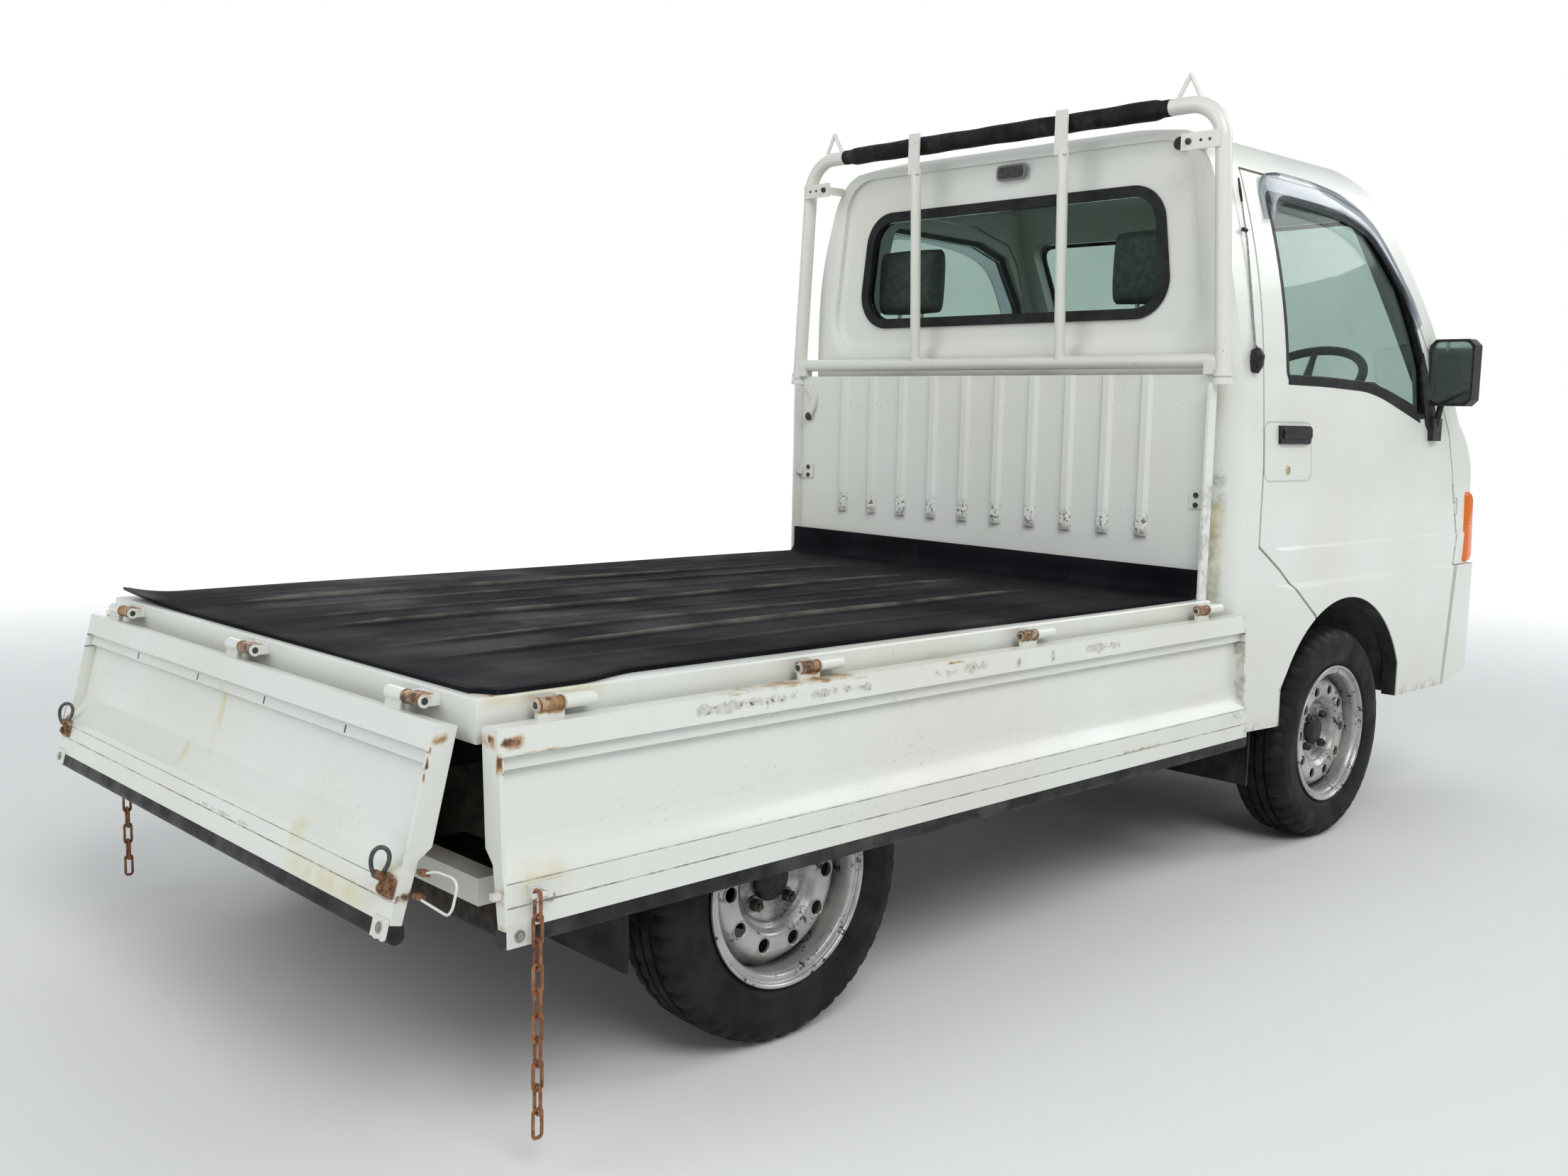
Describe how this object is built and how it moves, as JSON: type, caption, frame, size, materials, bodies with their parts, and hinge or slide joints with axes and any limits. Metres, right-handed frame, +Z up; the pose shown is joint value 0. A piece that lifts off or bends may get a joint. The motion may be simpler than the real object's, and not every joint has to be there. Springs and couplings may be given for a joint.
{
  "type": "kei truck",
  "caption": "Small cab-over flat-bed truck with drop sides hanging open, a ribbed guard panel and tubular frame behind the cab, and pressed steel wheels.",
  "frame": {"origin": "on the ground under the middle of the box round the whole truck", "axes": "+X forward, +Y to the truck's left, +Z up"},
  "size_m": [3.405, 1.561, 1.7925],
  "materials": {
    "body_paint": "aged off-white enamel with rust and stains",
    "frame_paint": "off-white enamel, chipped",
    "lamp_clear": "clear lens",
    "lamp_amber": "amber lens",
    "lamp_red": "red lens",
    "window_glass": "faintly green, clear",
    "weather_rubber": "worn grey-black",
    "floor_paint": "dark paint",
    "seat_vinyl": "dark grey vinyl",
    "black_plastic": "textured black",
    "chassis_paint": "black underbody paint",
    "mat_rubber": "ribbed dark grey",
    "foam_sleeve": "black closed-cell foam",
    "cast_iron": "as cast, oily",
    "gearbox_alloy": "cast, dull",
    "exhaust_steel": "heat-stained",
    "wheel_steel": "silver-grey paint, chipped",
    "tyre_rubber": "black, dusty",
    "forged_steel": "forged, dark",
    "chain_steel": "rusted"
  },
  "bodies": {
    "chassis": {"cab_shell": "body_paint", "nose_panel": "body_paint", "front_bumper": "body_paint", "headlamps": "lamp_clear", "marker_lamps": "lamp_amber", "windscreen": "window_glass", "rear_window": "window_glass", "rear_window_gasket": "weather_rubber", "cab_floor": "floor_paint", "seats": "seat_vinyl", "dashboard": "black_plastic", "steering_column": "black_plastic", "bed_frame": "chassis_paint", "bed_sills": "chassis_paint", "rear_beam": "body_paint", "bed_deck": "body_paint", "bed_mat": "mat_rubber", "guard_panel": "body_paint", "rack_frame": "frame_paint", "rack_sleeve": "foam_sleeve", "front_suspension": "chassis_paint", "rear_suspension": "chassis_paint", "engine_block": "cast_iron", "transaxle": "gearbox_alloy", "fuel_tank": "chassis_paint", "exhaust": "exhaust_steel", "mud_flaps": "weather_rubber", "tail_lamps": "lamp_red"},
    "knuckle_left": {"knuckle_left": "forged_steel"},
    "knuckle_right": {"knuckle_right": "forged_steel"},
    "wheel_front_left": {"rim_front_left": "wheel_steel", "tyre_front_left": "tyre_rubber"},
    "wheel_front_right": {"rim_front_right": "wheel_steel", "tyre_front_right": "tyre_rubber"},
    "wheel_rear_left": {"rim_rear_left": "wheel_steel", "tyre_rear_left": "tyre_rubber", "half_shaft_left": "forged_steel"},
    "wheel_rear_right": {"rim_rear_right": "wheel_steel", "tyre_rear_right": "tyre_rubber", "half_shaft_right": "forged_steel"},
    "steering_wheel": {"steering_wheel": "black_plastic"},
    "door_left": {"door_left": "body_paint", "door_glass_left": "window_glass", "door_trim_left": "black_plastic"},
    "door_right": {"door_right": "body_paint", "door_glass_right": "window_glass", "door_trim_right": "black_plastic"},
    "side_gate_left": {"side_gate_left": "body_paint", "side_gate_rubber_left": "weather_rubber", "side_gate_fittings_left": "frame_paint"},
    "side_gate_right": {"side_gate_right": "body_paint", "side_gate_rubber_right": "weather_rubber", "side_gate_fittings_right": "frame_paint"},
    "tailgate": {"tailgate": "body_paint", "tailgate_rubber": "weather_rubber", "tailgate_latches": "frame_paint"},
    "chain_upper_left": {"chain_upper_left": "chain_steel"},
    "chain_upper_right": {"chain_upper_right": "chain_steel"},
    "chain_lower_left": {"chain_lower_left": "chain_steel"},
    "chain_lower_right": {"chain_lower_right": "chain_steel"}
  },
  "joints": [
    {"name": "steer_left", "type": "hinge", "parent": "chassis", "child": "knuckle_left", "pos_m": [0.905, 0.562, 0.19], "axis": [0, -0.2147, 0.9767], "range_deg": [-33, 33]},
    {"name": "roll_front_left", "type": "hinge", "parent": "knuckle_left", "child": "wheel_front_left", "pos_m": [0.905, 0.607, 0.266], "axis": [0, 1, 0], "continuous": true},
    {"name": "roll_rear_left", "type": "hinge", "parent": "chassis", "child": "wheel_rear_left", "pos_m": [-0.98, 0.607, 0.266], "axis": [0, 1, 0], "continuous": true},
    {"name": "door_left", "type": "hinge", "parent": "chassis", "child": "door_left", "pos_m": [1.545, 0.688, 0.64], "axis": [0, 0.0523, -0.9986], "range_deg": [0, 65]},
    {"name": "side_gate_left", "type": "hinge", "parent": "chassis", "child": "side_gate_left", "pos_m": [-0.59, 0.688, 0.631], "axis": [1, 0, 0], "range_deg": [0, 177]},
    {"name": "chain_upper_left", "type": "hinge", "parent": "side_gate_left", "child": "chain_upper_left", "pos_m": [-1.53, 0.75183, 0.38751], "axis": [1, 0, 0], "range_deg": [0, 185]},
    {"name": "chain_lower_left", "type": "hinge", "parent": "chain_upper_left", "child": "chain_lower_left", "pos_m": [-1.53, 0.75183, 0.22411], "axis": [1, 0, 0], "range_deg": [-92, 0]},
    {"name": "steer_right", "type": "hinge", "parent": "chassis", "child": "knuckle_right", "pos_m": [0.905, -0.562, 0.19], "axis": [0, 0.2147, 0.9767], "range_deg": [-33, 33]},
    {"name": "roll_front_right", "type": "hinge", "parent": "knuckle_right", "child": "wheel_front_right", "pos_m": [0.905, -0.607, 0.266], "axis": [0, 1, 0], "continuous": true},
    {"name": "roll_rear_right", "type": "hinge", "parent": "chassis", "child": "wheel_rear_right", "pos_m": [-0.98, -0.607, 0.266], "axis": [0, 1, 0], "continuous": true},
    {"name": "door_right", "type": "hinge", "parent": "chassis", "child": "door_right", "pos_m": [1.545, -0.688, 0.64], "axis": [0, 0.0523, 0.9986], "range_deg": [0, 65]},
    {"name": "side_gate_right", "type": "hinge", "parent": "chassis", "child": "side_gate_right", "pos_m": [-0.59, -0.688, 0.631], "axis": [-1, 0, 0], "range_deg": [0, 177]},
    {"name": "chain_upper_right", "type": "hinge", "parent": "side_gate_right", "child": "chain_upper_right", "pos_m": [-1.53, -0.75183, 0.38751], "axis": [-1, 0, 0], "range_deg": [0, 185]},
    {"name": "chain_lower_right", "type": "hinge", "parent": "chain_upper_right", "child": "chain_lower_right", "pos_m": [-1.53, -0.75183, 0.22411], "axis": [-1, 0, 0], "range_deg": [-92, 0]},
    {"name": "tailgate", "type": "hinge", "parent": "chassis", "child": "tailgate", "pos_m": [-1.594, 0, 0.631], "axis": [0, 1, 0], "range_deg": [0, 166]},
    {"name": "steering_wheel", "type": "hinge", "parent": "chassis", "child": "steering_wheel", "pos_m": [1.255, -0.35, 1.15], "axis": [-0.5736, 0, 0.8192], "range_deg": [-490, 490]}
  ],
  "couplings": [
    {"joint": "steer_right", "follows": "steer_left", "ratio": 1},
    {"joint": "steering_wheel", "follows": "steer_left", "ratio": 14},
    {"joint": "chain_upper_left", "follows": "side_gate_left", "ratio": 1.0339},
    {"joint": "chain_lower_left", "follows": "side_gate_left", "ratio": -0.50847},
    {"joint": "chain_upper_right", "follows": "side_gate_right", "ratio": 1.0339},
    {"joint": "chain_lower_right", "follows": "side_gate_right", "ratio": -0.50847}
  ]
}
